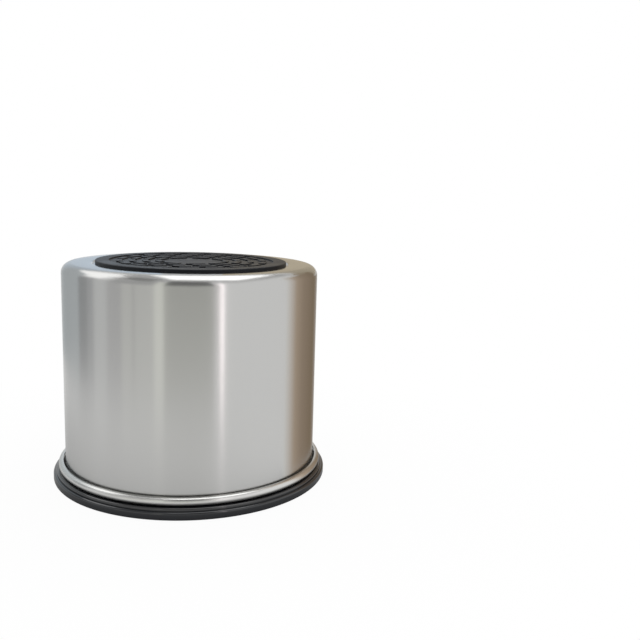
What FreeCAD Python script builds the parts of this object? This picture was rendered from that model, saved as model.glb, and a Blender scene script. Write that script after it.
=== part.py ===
"""Coffee canister with a push-down inner lid and a valve, standing upside down on its outer lid.

A drawn steel can with a rolled rim is closed by a flat outer lid that plugs its mouth. Inside, an inner lid
slides along the bore down to the coffee. The inner lid carries a folding handle: a cam on the handle's axle
presses the valve shut while the handle lies flat, and a spring lifts the valve while the handle stands.

Sizes are in millimetres. The can's axis is Z. The outer face of the outer lid lies at z = 0, the mouth is
just above it and the base, with its rubber pad, is at the top. "Mouthward" is therefore -Z.
"""
import FreeCAD, Part

import math
import os

from FreeCAD import Vector

# Can: a drawn steel cup whose rim is rolled outwards, with a shallow recess for the pad in its base
OVERALL_HEIGHT = 99.5
BODY_DIAMETER = 115.4
WALL = 0.6
SHOULDER_RADIUS = 4.5
RECESS_DEPTH = 1.15
RECESS_GAP = 0.4
BEND_RADIUS = 0.8
CURL_RADIUS = 1.85
CURL_END_GAP = 1.0

# Rubber pad on the base, with a raised rim and a sunk field of tread bars
PAD_DIAMETER = 86.3
PAD_THICKNESS = 2.0
PAD_EDGE_ROUND = 0.5
PAD_RIM_WIDTH = 6.0
PAD_FIELD_DEPTH = 0.7
TREAD_WIDTH = 2.8
TREAD_ROW_GAP = 3.0
TREAD_LENGTH = 8.0
TREAD_END_GAP = 3.2
TREAD_BELOW_RIM = 0.1
TREAD_MIDDLE_RADIUS = 9.0
ADHESIVE_THICKNESS = 0.2
ADHESIVE_INSET = 1.5

# Outer lid: a flat plate with a plug cup that reaches into the mouth
LID_DIAMETER = 126.1
LID_PLATE = 3.4
LID_FACE_ROUND = 0.5
LID_EDGE_ROUND = 0.9
PLUG_WALL = 1.6
PLUG_HEIGHT = 8.0
PLUG_BEAD = 0.7
PLUG_BEAD_HEIGHT = 1.0
PLUG_ROUND = 0.4

# Lid seal: a rubber ring with a flange under the rolled rim and a ribbed sleeve round the plug
SEAL_FLANGE = 1.3
SEAL_FLANGE_ROUND = 0.6
SEAL_OVERHANG = 1.0
SEAL_SLEEVE = 1.5
SEAL_RIB_DEPTH = 0.8
SEAL_RIB_HEIGHT = 1.4
SEAL_EDGE_ROUND = 0.3
SEAL_RIB_SHARES = (0.45, 0.78)

# Inner lid: a pan with a grooved rim, a floor and a well for the valve
RIM_GAP = 2.4
RIM_HEIGHT = 7.0
RIM_ROUND = 0.8
GROOVE_DEPTH = 2.4
GROOVE_HEIGHT = 3.8
PAN_WALL = 2.6
PAN_SKIRT = 2.2
PAN_FLOOR = 2.0
PAN_ROUND = 3.0
WELL_RADIUS = 7.6
WELL_DEPTH = 4.6
WELL_WALL = 1.6
WELL_FLOOR = 1.6
WELL_ROUND = 0.8
SEAT_HEIGHT = 1.4
SEAT_WIDTH = 1.2
VENT_RADIUS = 1.4
VENT_COUNT = 6
EAR_THICKNESS = 4.0
EAR_RADIUS = 4.0
EAR_BASE = 13.0

# Wiper gasket in the pan's rim
LIP_FLARE = 0.8
LIP_THICKNESS = 0.7
LIP_ROOT = 0.5
LIP_ROUND = 0.25

# Handle, its axle and the cam that works the valve
BAIL_REACH = 30.0
BAIL_SPAN = 58.0
BAIL_BAND = 7.0
BAIL_THICKNESS = 6.0
BAIL_EDGE_ROUND = 2.0
BAIL_CORNER = 11.0
BAIL_NECK = 7.0
BAIL_FLARE = 7.0
BAIL_NECK_ROUND = 8.0
EYE_RADIUS = 4.5
EYE_LENGTH = 5.7
EYE_END_WALL = 1.5
EYE_ROUND = 1.0
AXLE_RADIUS = 2.0
AXLE_CHAMFER = 0.4
AXLE_BELOW_RIM = 4.0
CAM_WIDTH = 8.0
CAM_HUB_RADIUS = 3.5
VALVE_LIFT = 2.0
HANDLE_HEADROOM = 0.6

# Valve: plunger, rubber disc, spring and the clip on the stem
PLUNGER_RADIUS = 10.8
PLUNGER_FLANGE = 1.5
PLUNGER_ROUND = 0.5
BOSS_RADIUS = 6.0
DISC_THICKNESS = 1.5
DISC_ROUND = 0.3
STEM_RADIUS = 1.8
STEM_TIP = 0.8
STEM_CHAMFER = 0.3
CLIP_RADIUS = 3.4
CLIP_THICKNESS = 0.8
CLIP_GROOVE = 0.35
CLIP_SLOT = 2.2
CLIP_PLAY = 0.2
SPRING_RADIUS = 2.7
SPRING_WIRE = 0.6
SPRING_TURNS = 4

# Clearances
LIP_CLEARANCE = 0.15
RUNNING_CLEARANCE = 0.05
SEAT_CLEARANCE = 0.05
CAM_CLEARANCE = 0.1
SIDE_CLEARANCE = 0.3
EAR_CLEARANCE = 1.2
PRESS_CLEARANCE = 0.02
OVERRUN = 1.0

# How outlines and curves are drawn
CORNER_SHARE = 0.49
FULL_TURN = 360
TOUCHING = 1e-6
CAM_STEPS = 6
GAP_STEPS_PER_TURN = 24
ORIGIN = Vector(0, 0, 0)
X_AXIS = Vector(1, 0, 0)
Z_AXIS = Vector(0, 0, 1)

# Radii worked out from the sizes above
BODY_RADIUS = BODY_DIAMETER / 2
BORE_RADIUS = BODY_RADIUS - WALL
LIP_RADIUS = BORE_RADIUS - LIP_CLEARANCE
PAD_RADIUS = PAD_DIAMETER / 2
CURL_CENTRE_RADIUS = BORE_RADIUS + CURL_RADIUS
LID_RADIUS = LID_DIAMETER / 2
SLEEVE_RADIUS = LIP_RADIUS - SEAL_RIB_DEPTH
PLUG_RADIUS = SLEEVE_RADIUS - SEAL_SLEEVE - PRESS_CLEARANCE
RIM_RADIUS = BORE_RADIUS - RIM_GAP
GROOVE_RADIUS = RIM_RADIUS - GROOVE_DEPTH
PAN_RADIUS = GROOVE_RADIUS - PAN_WALL
STEM_BORE = STEM_RADIUS + RUNNING_CLEARANCE

# Heights, from the table to the base
RIM_SEAT_Z = LID_PLATE + SEAL_FLANGE
MOUTH_Z = RIM_SEAT_Z + SEAT_CLEARANCE
CURL_CENTRE_Z = MOUTH_Z + CURL_RADIUS
PAD_SEAT_Z = OVERALL_HEIGHT - PAD_THICKNESS
PANEL_Z = PAD_SEAT_Z - ADHESIVE_THICKNESS
BASE_Z = PANEL_Z + RECESS_DEPTH

# Heights of the inner lid: the raised handle just clears the outer lid's plate
AXLE_Z = LID_PLATE + HANDLE_HEADROOM + BAIL_REACH
RIM_Z = AXLE_Z - AXLE_BELOW_RIM
CAM_RADIUS = CAM_HUB_RADIUS + VALVE_LIFT
PLUNGER_Z = AXLE_Z + CAM_RADIUS + CAM_CLEARANCE
DISC_Z = PLUNGER_Z + PLUNGER_FLANGE
SEAT_Z = DISC_Z + DISC_THICKNESS
FLOOR_Z = SEAT_Z + SEAT_HEIGHT
WELL_FLOOR_Z = FLOOR_Z + WELL_DEPTH
WELL_END_Z = WELL_FLOOR_Z + WELL_FLOOR
CLIP_Z = WELL_END_Z + VALVE_LIFT + CLIP_PLAY
GROOVE_Z = RIM_Z + (RIM_HEIGHT - GROOVE_HEIGHT) / 2

# Places along the axle
EAR_X = PLUNGER_RADIUS + EAR_CLEARANCE
EYE_X = EAR_X + EAR_THICKNESS + SIDE_CLEARANCE
EYE_END_X = EYE_X + EYE_LENGTH
AXLE_END_X = EYE_END_X - EYE_END_WALL


def on_meridian(point):
    """Place an outline's (radius, height) in the plane that is turned about the can's axis."""
    return Vector(point.x, 0, point.y)


def across_axle(point):
    """Place an outline's (y, z) in the plane square to the handle's axle."""
    return Vector(0, point.x, point.y)


def along_handle(point):
    """Place an outline's (x, y) in the plane in which the folded handle lies."""
    return Vector(point.x, point.y, AXLE_Z)


def run(corners, place, closed=False):
    """Edges through corners of (u, v) or (u, v, rounding), placed in space by the function place."""
    points = [Vector(corner[0], corner[1], 0) for corner in corners]
    spans = []
    for i, corner in enumerate(corners):
        point = points[i]
        before = points[i - 1] - point
        after = points[(i + 1) % len(points)] - point
        if len(corner) == 2:
            spans.append((point, None, point))
            continue
        half_angle = before.getAngle(after) / 2
        setback = min(corner[2] / math.tan(half_angle), CORNER_SHARE * min(before.Length, after.Length))
        radius = setback * math.tan(half_angle)
        before.normalize()
        after.normalize()
        inward = (before + after).normalize()
        middle = point + inward * (radius / math.sin(half_angle) - radius)
        spans.append((point + before * setback, middle, point + after * setback))
    edges = []
    for i, (start, middle, end) in enumerate(spans):
        if middle is not None:
            edges.append(Part.Arc(place(start), place(middle), place(end)).toShape())
        following = spans[(i + 1) % len(spans)][0]
        goes_on = closed or i + 1 < len(spans)
        if goes_on and (following - end).Length > TOUCHING:
            edges.append(Part.LineSegment(place(end), place(following)).toShape())
    return edges


def outline(corners, place):
    """Close a wire through corners, as run does."""
    return Part.Wire(run(corners, place, closed=True))


def turned(corners):
    """Turn an outline of (radius, height) corners about the can's axis."""
    return Part.Face(outline(corners, on_meridian)).revolve(ORIGIN, Z_AXIS, FULL_TURN)


def rod_along_x(radius, start, end):
    """A round rod on the handle's axle line, from one x to another."""
    return Part.makeCylinder(radius, end - start, Vector(start, 0, AXLE_Z), X_AXIS)


def both_sides(shape):
    """The shape and its mirror image on the other side of the x = 0 plane."""
    return [shape, shape.mirror(ORIGIN, X_AXIS)]


def canister_shell():
    """Steel can of one thickness: recessed base, shoulder, wall and a rim rolled outwards into a hollow curl."""
    roll_start = math.pi
    roll_end = 2 * math.pi + math.acos((BODY_RADIUS + CURL_END_GAP - CURL_CENTRE_RADIUS) / CURL_RADIUS)
    sheet_inside = CURL_RADIUS - WALL
    panel_radius = PAD_RADIUS + RECESS_GAP
    recess_radius = panel_radius + RECESS_DEPTH
    bend_shift = WALL * math.tan(math.pi / 8)
    outer_bend = BEND_RADIUS + WALL

    def roll(radius, angle):
        return Vector(CURL_CENTRE_RADIUS + radius * math.cos(angle), 0, CURL_CENTRE_Z + radius * math.sin(angle))

    def rolled(radius, start, end):
        return Part.Arc(roll(radius, start), roll(radius, (start + end) / 2), roll(radius, end)).toShape()

    outside = run([
        (0, PANEL_Z),
        (panel_radius, PANEL_Z, BEND_RADIUS),
        (recess_radius, BASE_Z, outer_bend),
        (BODY_RADIUS, BASE_Z, SHOULDER_RADIUS),
        (BODY_RADIUS, CURL_CENTRE_Z),
    ], on_meridian)
    rim = [
        rolled(sheet_inside, roll_start, roll_end),
        Part.LineSegment(roll(sheet_inside, roll_end), roll(CURL_RADIUS, roll_end)).toShape(),
        rolled(CURL_RADIUS, roll_end, roll_start),
    ]
    inside = run([
        (BORE_RADIUS, CURL_CENTRE_Z),
        (BORE_RADIUS, BASE_Z - WALL, SHOULDER_RADIUS - WALL),
        (recess_radius + bend_shift, BASE_Z - WALL, BEND_RADIUS),
        (panel_radius + bend_shift, PANEL_Z - WALL, outer_bend),
        (0, PANEL_Z - WALL),
        (0, PANEL_Z),
    ], on_meridian)
    return Part.Face(Part.Wire(outside + rim + inside)).revolve(ORIGIN, Z_AXIS, FULL_TURN)


def tread_bars(field_z):
    """Rows of short curved bars on the pad's sunk field, each row staggered against the next."""
    height = PAD_FIELD_DEPTH - TREAD_BELOW_RIM
    row_pitch = TREAD_WIDTH + TREAD_ROW_GAP
    outermost = PAD_RADIUS - PAD_RIM_WIDTH - TREAD_ROW_GAP
    rows = int((outermost - TREAD_MIDDLE_RADIUS) / row_pitch)
    bars = []
    for row in range(rows):
        outside = outermost - row * row_pitch
        inside = outside - TREAD_WIDTH
        middle = (inside + outside) / 2
        count = round(2 * math.pi * middle / (TREAD_LENGTH + TREAD_END_GAP))
        sweep = math.degrees(TREAD_LENGTH / middle)
        step = FULL_TURN / count
        section = [(inside, field_z), (outside, field_z), (outside, field_z + height), (inside, field_z + height)]
        bar = Part.Face(outline(section, on_meridian)).revolve(ORIGIN, Z_AXIS, sweep)
        stagger = step / 2 * (row % 2)
        bars += [bar.rotated(ORIGIN, Z_AXIS, stagger + step * i) for i in range(count)]
    return bars


def base_pad():
    """Rubber pad: flat rim for standing on, sunk field with tread bars."""
    field_z = OVERALL_HEIGHT - PAD_FIELD_DEPTH
    field_radius = PAD_RADIUS - PAD_RIM_WIDTH
    pad = turned([
        (0, PAD_SEAT_Z),
        (PAD_RADIUS, PAD_SEAT_Z),
        (PAD_RADIUS, OVERALL_HEIGHT, PAD_EDGE_ROUND),
        (field_radius, OVERALL_HEIGHT),
        (field_radius, field_z),
        (0, field_z),
    ])
    return pad.multiFuse(tread_bars(field_z))


def pad_adhesive():
    """Thin adhesive disc between the recess and the pad."""
    return Part.makeCylinder(PAD_RADIUS - ADHESIVE_INSET, ADHESIVE_THICKNESS, Vector(0, 0, PANEL_Z))


def outer_lid():
    """Outer lid: a plate with rounded edges and a plug cup with a bead that holds the seal on."""
    plug_start = LID_PLATE - PLUG_WALL
    plug_end = LID_PLATE + PLUG_HEIGHT
    plug_inside = PLUG_RADIUS - PLUG_WALL
    bead_radius = PLUG_RADIUS + PLUG_BEAD
    bead_z = plug_end - PLUG_BEAD_HEIGHT
    plate = turned([
        (0, 0),
        (LID_RADIUS, 0, LID_FACE_ROUND),
        (LID_RADIUS, LID_PLATE, LID_EDGE_ROUND),
        (0, LID_PLATE),
    ])
    plug = turned([
        (0, plug_start),
        (PLUG_RADIUS, plug_start),
        (PLUG_RADIUS, bead_z),
        (bead_radius, bead_z, PLUG_ROUND),
        (bead_radius, plug_end, PLUG_ROUND),
        (plug_inside, plug_end, PLUG_ROUND),
        (plug_inside, LID_PLATE, PLUG_WALL),
        (0, LID_PLATE),
    ])
    return plate.fuse(plug).removeSplitter()


def lid_seal():
    """Rubber ring on the outer lid: a flange under the can's rim and a sleeve with ribs that meet the bore."""
    inside = PLUG_RADIUS + PRESS_CLEARANCE
    flange_radius = CURL_CENTRE_RADIUS + CURL_RADIUS + SEAL_OVERHANG
    sleeve_end = LID_PLATE + PLUG_HEIGHT - PLUG_BEAD_HEIGHT - SEAT_CLEARANCE
    corners = [
        (inside, LID_PLATE),
        (flange_radius, LID_PLATE),
        (flange_radius, RIM_SEAT_Z, SEAL_FLANGE_ROUND),
        (SLEEVE_RADIUS, RIM_SEAT_Z),
    ]
    for share in SEAL_RIB_SHARES:
        rib_z = RIM_SEAT_Z + share * (sleeve_end - RIM_SEAT_Z)
        corners.append((SLEEVE_RADIUS, rib_z - SEAL_RIB_HEIGHT / 2))
        corners.append((LIP_RADIUS, rib_z, SEAL_EDGE_ROUND))
        corners.append((SLEEVE_RADIUS, rib_z + SEAL_RIB_HEIGHT / 2))
    corners += [(SLEEVE_RADIUS, sleeve_end, SEAL_EDGE_ROUND), (inside, sleeve_end)]
    return turned(corners)


def ear(x):
    """One tapered ear for the axle, standing on the pan's floor with its inner face at x."""
    root_z = FLOOR_Z + PAN_FLOOR / 2
    top_z = AXLE_Z - EAR_RADIUS
    face = Part.Face(outline([
        (-EAR_BASE / 2, root_z),
        (-EAR_RADIUS, top_z, EAR_RADIUS),
        (EAR_RADIUS, top_z, EAR_RADIUS),
        (EAR_BASE / 2, root_z),
    ], across_axle))
    return face.translated(Vector(x, 0, 0)).extrude(Vector(EAR_THICKNESS, 0, 0))


def inner_lid_pan():
    """Inner lid: dished pan with a grooved rim, the valve's seat and vented well, and two ears for the axle."""
    seat_radius = WELL_RADIUS + SEAT_WIDTH
    skirt_radius = PAN_RADIUS + PAN_SKIRT
    groove_end = GROOVE_Z + GROOVE_HEIGHT
    underside = FLOOR_Z + PAN_FLOOR
    well_outside = WELL_RADIUS + WELL_WALL
    pan = turned([
        (STEM_BORE, WELL_FLOOR_Z),
        (WELL_RADIUS, WELL_FLOOR_Z),
        (WELL_RADIUS, SEAT_Z),
        (seat_radius, SEAT_Z),
        (seat_radius, FLOOR_Z),
        (PAN_RADIUS, FLOOR_Z, PAN_ROUND),
        (PAN_RADIUS, RIM_Z, RIM_ROUND),
        (RIM_RADIUS, RIM_Z, RIM_ROUND),
        (RIM_RADIUS, GROOVE_Z),
        (GROOVE_RADIUS, GROOVE_Z),
        (GROOVE_RADIUS, groove_end),
        (RIM_RADIUS, groove_end),
        (RIM_RADIUS, RIM_Z + RIM_HEIGHT, RIM_ROUND),
        (skirt_radius, RIM_Z + RIM_HEIGHT),
        (skirt_radius, underside, PAN_ROUND + PAN_FLOOR),
        (well_outside, underside),
        (well_outside, WELL_END_Z, WELL_ROUND),
        (STEM_BORE, WELL_END_Z),
    ])
    pan = pan.multiFuse(both_sides(ear(EAR_X)))
    ears_end = EAR_X + EAR_THICKNESS + OVERRUN
    cuts = [rod_along_x(AXLE_RADIUS + RUNNING_CLEARANCE, -ears_end, ears_end)]
    vent_circle = (SPRING_RADIUS + SPRING_WIRE / 2 + WELL_RADIUS) / 2
    vent_start = Vector(vent_circle, 0, WELL_FLOOR_Z - OVERRUN)
    vent = Part.makeCylinder(VENT_RADIUS, WELL_FLOOR + 2 * OVERRUN, vent_start)
    cuts += [vent.rotated(ORIGIN, Z_AXIS, FULL_TURN / VENT_COUNT * i) for i in range(VENT_COUNT)]
    return pan.cut(cuts)


def inner_lid_gasket():
    """Wiper ring: a band in the rim's groove with a lip flared to each side."""
    inside = GROOVE_RADIUS + PRESS_CLEARANCE
    start = GROOVE_Z + SEAT_CLEARANCE
    end = GROOVE_Z + GROOVE_HEIGHT - SEAT_CLEARANCE
    root = RIM_RADIUS + LIP_ROOT
    waist = root + LIP_THICKNESS
    return turned([
        (inside, start),
        (root, start),
        (LIP_RADIUS, start - LIP_FLARE, LIP_ROUND),
        (LIP_RADIUS, start - LIP_FLARE + LIP_THICKNESS, LIP_ROUND),
        (waist, start + LIP_THICKNESS + LIP_ROOT, LIP_ROUND),
        (waist, end - LIP_THICKNESS - LIP_ROOT, LIP_ROUND),
        (LIP_RADIUS, end + LIP_FLARE - LIP_THICKNESS, LIP_ROUND),
        (LIP_RADIUS, end + LIP_FLARE, LIP_ROUND),
        (root, end),
        (inside, end),
    ])


def bail_band():
    """The handle's flat band: two necks that flare to the full span, joined by a round-cornered crosspiece."""
    half_span = BAIL_SPAN / 2
    inner_span = half_span - BAIL_BAND
    inner_neck = BAIL_NECK + EYE_LENGTH * math.tan(math.pi / 8)
    flare_end = BAIL_NECK + BAIL_FLARE
    inner_flare_end = inner_neck + BAIL_FLARE + EYE_LENGTH - BAIL_BAND
    right_outside = [
        (EYE_END_X, 0),
        (EYE_END_X, -BAIL_NECK, BAIL_NECK_ROUND),
        (half_span, -flare_end, BAIL_NECK_ROUND),
        (half_span, -BAIL_REACH, BAIL_CORNER),
    ]
    right_inside = [
        (EYE_X, 0),
        (EYE_X, -inner_neck, BAIL_NECK_ROUND),
        (inner_span, -inner_flare_end, BAIL_NECK_ROUND),
        (inner_span, BAIL_BAND - BAIL_REACH, BAIL_CORNER - BAIL_BAND),
    ]

    def left(corners):
        return [(-corner[0],) + corner[1:] for corner in reversed(corners)]

    corners = right_outside + left(right_outside) + left(right_inside)[::-1] + right_inside[::-1]
    face = Part.Face(outline(corners, along_handle))
    band = face.translated(Vector(0, 0, -BAIL_THICKNESS / 2)).extrude(Vector(0, 0, BAIL_THICKNESS))
    rims = [edge for edge in band.Edges
            if edge.BoundBox.ZLength < TOUCHING and edge.BoundBox.YMin < -TOUCHING]
    return band.makeFillet(BAIL_EDGE_ROUND, rims)


def handle_bail():
    """Folding handle: a flat bail with an eye on each end that grips the axle."""
    eye = rod_along_x(EYE_RADIUS, EYE_X, EYE_END_X)
    outer_edge = [edge for edge in eye.Edges if abs(edge.CenterOfMass.x - EYE_END_X) < TOUCHING]
    eye = eye.makeFillet(EYE_ROUND, outer_edge)
    socket = rod_along_x(AXLE_RADIUS + PRESS_CLEARANCE, EYE_X - OVERRUN, AXLE_END_X)
    return bail_band().multiFuse(both_sides(eye)).cut(both_sides(socket)).removeSplitter()


def cross_axle():
    """Steel rod through both ears, gripped by the handle's eyes and the cam."""
    rod = rod_along_x(AXLE_RADIUS, -AXLE_END_X, AXLE_END_X)
    ends = [edge for edge in rod.Edges if edge.BoundBox.XLength < TOUCHING]
    return rod.makeChamfer(AXLE_CHAMFER, ends)


def valve_cam():
    """Cam on the axle. Its flank is the involute of a circle, so the lift follows the handle's angle evenly."""
    rate = VALVE_LIFT / (math.pi / 2)

    def flank(angle):
        reach = CAM_HUB_RADIUS + rate * angle
        y = reach * math.cos(angle) - rate * math.sin(angle)
        z = reach * math.sin(angle) + rate * math.cos(angle)
        return Vector(0, y, AXLE_Z + z)

    def point(y, z):
        return Vector(0, y, AXLE_Z + z)

    flank_curve = Part.BSplineCurve()
    flank_curve.interpolate([flank(math.pi / 2 * i / CAM_STEPS) for i in range(CAM_STEPS + 1)])
    nose_radius = CAM_HUB_RADIUS - rate
    nose_z = CAM_RADIUS - nose_radius
    nose_middle = nose_radius * math.sqrt(0.5)
    edges = [
        flank_curve.toShape(),
        Part.Arc(point(-rate, CAM_RADIUS), point(-rate - nose_middle, nose_z + nose_middle),
                 point(-CAM_HUB_RADIUS, nose_z)).toShape(),
        Part.LineSegment(point(-CAM_HUB_RADIUS, nose_z), point(-CAM_HUB_RADIUS, 0)).toShape(),
        Part.Arc(point(-CAM_HUB_RADIUS, 0), point(0, -CAM_HUB_RADIUS), point(CAM_HUB_RADIUS, 0)).toShape(),
        Part.LineSegment(point(CAM_HUB_RADIUS, 0), point(CAM_HUB_RADIUS, rate)).toShape(),
    ]
    lobe = Part.Face(Part.Wire(edges)).translated(Vector(-CAM_WIDTH / 2, 0, 0)).extrude(Vector(CAM_WIDTH, 0, 0))
    return lobe.cut(rod_along_x(AXLE_RADIUS + PRESS_CLEARANCE, -CAM_WIDTH, CAM_WIDTH))


def valve_plunger():
    """Valve button with a boss for the disc and a stem, grooved for its clip."""
    groove_radius = STEM_RADIUS - CLIP_GROOVE
    clip_end = CLIP_Z + CLIP_THICKNESS
    return turned([
        (0, PLUNGER_Z),
        (PLUNGER_RADIUS, PLUNGER_Z, PLUNGER_ROUND),
        (PLUNGER_RADIUS, DISC_Z),
        (BOSS_RADIUS, DISC_Z),
        (BOSS_RADIUS, SEAT_Z),
        (STEM_RADIUS, SEAT_Z),
        (STEM_RADIUS, CLIP_Z),
        (groove_radius, CLIP_Z),
        (groove_radius, clip_end),
        (STEM_RADIUS, clip_end),
        (STEM_RADIUS, clip_end + STEM_TIP, STEM_CHAMFER),
        (0, clip_end + STEM_TIP),
    ])


def valve_disc():
    """Rubber disc round the plunger's boss, which closes on the seat."""
    inside = BOSS_RADIUS + PRESS_CLEARANCE
    return turned([
        (inside, DISC_Z),
        (PLUNGER_RADIUS, DISC_Z),
        (PLUNGER_RADIUS, SEAT_Z, DISC_ROUND),
        (inside, SEAT_Z),
    ])


def stem_clip():
    """Open ring in the stem's groove, which stops the plunger at the end of its lift."""
    groove_radius = STEM_RADIUS - CLIP_GROOVE
    ring = turned([
        (groove_radius + PRESS_CLEARANCE, CLIP_Z),
        (CLIP_RADIUS, CLIP_Z),
        (CLIP_RADIUS, CLIP_Z + CLIP_THICKNESS),
        (groove_radius + PRESS_CLEARANCE, CLIP_Z + CLIP_THICKNESS),
    ])
    slot_corner = Vector(0, -CLIP_SLOT / 2, CLIP_Z - OVERRUN)
    slot = Part.makeBox(CLIP_RADIUS + OVERRUN, CLIP_SLOT, CLIP_THICKNESS + 2 * OVERRUN, slot_corner)
    return ring.cut(slot)


def biarc(start, start_way, end, end_way):
    """Two arcs from one point to another that keep the given directions at both ends and meet smoothly."""
    chord = end - start
    bend = 2 * (1 - start_way.dot(end_way))
    lean = 2 * chord.dot(start_way + end_way)
    reach = (math.sqrt(lean * lean + 4 * bend * chord.dot(chord)) - lean) / (2 * bend)
    first_corner = start + start_way * reach
    last_corner = end - end_way * reach
    joint = (first_corner + last_corner) / 2

    def arc(here, corner, there):
        half = (there - here) / 2
        bow = (corner - here - half)
        half_turn = half.getAngle(corner - here) / 2
        middle = here + half + bow.normalize() * (half.Length * math.tan(half_turn))
        return Part.Arc(here, middle, there).toShape()

    return [arc(start, first_corner, joint), arc(joint, last_corner, end)]


def valve_spring():
    """Coil spring round the stem, from the well's floor to the plunger's boss, as one round wire."""
    wire_radius = SPRING_WIRE / 2
    first_z = SEAT_Z + wire_radius + SEAT_CLEARANCE
    last_z = WELL_FLOOR_Z - wire_radius - SEAT_CLEARANCE
    pitch = (last_z - first_z) / SPRING_TURNS

    def place(turn):
        angle = 2 * math.pi * turn
        return Vector(SPRING_RADIUS * math.cos(angle), SPRING_RADIUS * math.sin(angle), first_z + pitch * turn)

    def way(turn):
        angle = 2 * math.pi * turn
        around = 2 * math.pi * SPRING_RADIUS
        return Vector(-around * math.sin(angle), around * math.cos(angle), pitch).normalize()

    edges = []
    for half in range(2 * SPRING_TURNS):
        start = half / 2
        end = (half + 1) / 2
        edges += biarc(place(start), way(start), place(end), way(end))
    path = Part.Wire(edges)
    section = Part.Wire(Part.makeCircle(wire_radius, place(0), way(0)))
    coil = path.makePipeShell([section], True, False)
    points = [place(i / GAP_STEPS_PER_TURN) for i in range(SPRING_TURNS * GAP_STEPS_PER_TURN + 1)]
    half_turn = GAP_STEPS_PER_TURN // 2
    spread = min((a - b).Length for i, a in enumerate(points) for b in points[i + half_turn:])
    print("spring: least gap between turns %.2f mm" % (spread - SPRING_WIRE))
    print("spring: volume %.3f of section times length" % (coil.Volume / (math.pi * wire_radius ** 2 * path.Length)))
    return coil


PIECES = (
    canister_shell,
    base_pad,
    pad_adhesive,
    outer_lid,
    lid_seal,
    inner_lid_pan,
    inner_lid_gasket,
    handle_bail,
    cross_axle,
    valve_cam,
    valve_plunger,
    valve_disc,
    valve_spring,
    stem_clip,
)


def main():
    """Write each piece, under its function's name, to its own file in the folder parts."""
    os.makedirs("parts", exist_ok=True)
    for make in PIECES:
        make().exportStep("parts/%s.step" % make.__name__)


main()
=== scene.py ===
"""Studio model of a coffee canister that stands upside down on its outer lid.

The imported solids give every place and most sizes. The can, the base pad, the outer lid and its seal are
turned again here as fine meshes, because their gloss shows every facet. The inner lid, its handle, its
valve and the pad's adhesive keep their solids and get finishes. Lengths are in metres.
"""

import logging
import math
from dataclasses import dataclass, field
from enum import Enum
from functools import cached_property
from typing import Sequence

import bmesh
import bpy
from mathutils import Matrix, Vector


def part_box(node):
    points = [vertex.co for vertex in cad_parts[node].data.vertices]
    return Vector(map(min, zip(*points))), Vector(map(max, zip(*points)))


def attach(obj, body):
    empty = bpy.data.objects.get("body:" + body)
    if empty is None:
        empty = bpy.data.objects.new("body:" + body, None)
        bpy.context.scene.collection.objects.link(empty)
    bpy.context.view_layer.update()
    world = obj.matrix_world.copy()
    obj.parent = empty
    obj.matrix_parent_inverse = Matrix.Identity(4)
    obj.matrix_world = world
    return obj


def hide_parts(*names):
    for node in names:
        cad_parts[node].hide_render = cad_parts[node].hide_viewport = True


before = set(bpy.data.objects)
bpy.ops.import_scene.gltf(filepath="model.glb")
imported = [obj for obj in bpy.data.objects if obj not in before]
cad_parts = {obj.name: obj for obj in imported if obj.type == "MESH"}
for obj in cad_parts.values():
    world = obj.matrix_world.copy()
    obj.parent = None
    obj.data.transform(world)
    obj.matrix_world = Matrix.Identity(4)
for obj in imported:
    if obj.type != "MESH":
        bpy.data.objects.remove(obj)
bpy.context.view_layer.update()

LOG = logging.getLogger("canister")
MM = 0.001
IMAGE_SIDE = 640
SENSOR_MM = 36.0
TURN_SIDES = 240
ARC_STEP = math.radians(9)
ARC_LEAST_STEPS = 3
CARD_LEAST_STEPS = 2
CLOSE_CARD = 0.075
SHARP_ANGLE = math.radians(38)
AXIS_RADIUS = 1e-7
GLOW_LAYER = "radiance"
QUARTER_TURN = 0.25
RECESS_SLOPE = math.radians(45)

# Spans of the noise that the finishes spread over their own ranges
NOISE_SPAN = (0.3, 0.7)
SMUDGE_SPAN = (0.35, 0.7)
SPECK_SPAN = (0.7, 0.78)

Colour = tuple[float, float, float]
Socket = bpy.types.NodeSocket


class Body(str, Enum):
    """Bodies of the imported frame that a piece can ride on."""

    OUTER_LID = "outer_lid"
    CANISTER = "canister"


class Ray(str, Enum):
    """Kinds of ray that see the white background."""

    CAMERA = "Is Camera Ray"
    GLOSSY = "Is Glossy Ray"
    TRANSMISSION = "Is Transmission Ray"


class Zone(int, Enum):
    """Zones of the can with a finish of their own; the value is the material's index."""

    WALL = 0
    RIM = 1
    BASE = 2


# Shader graphs and finishes

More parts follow.
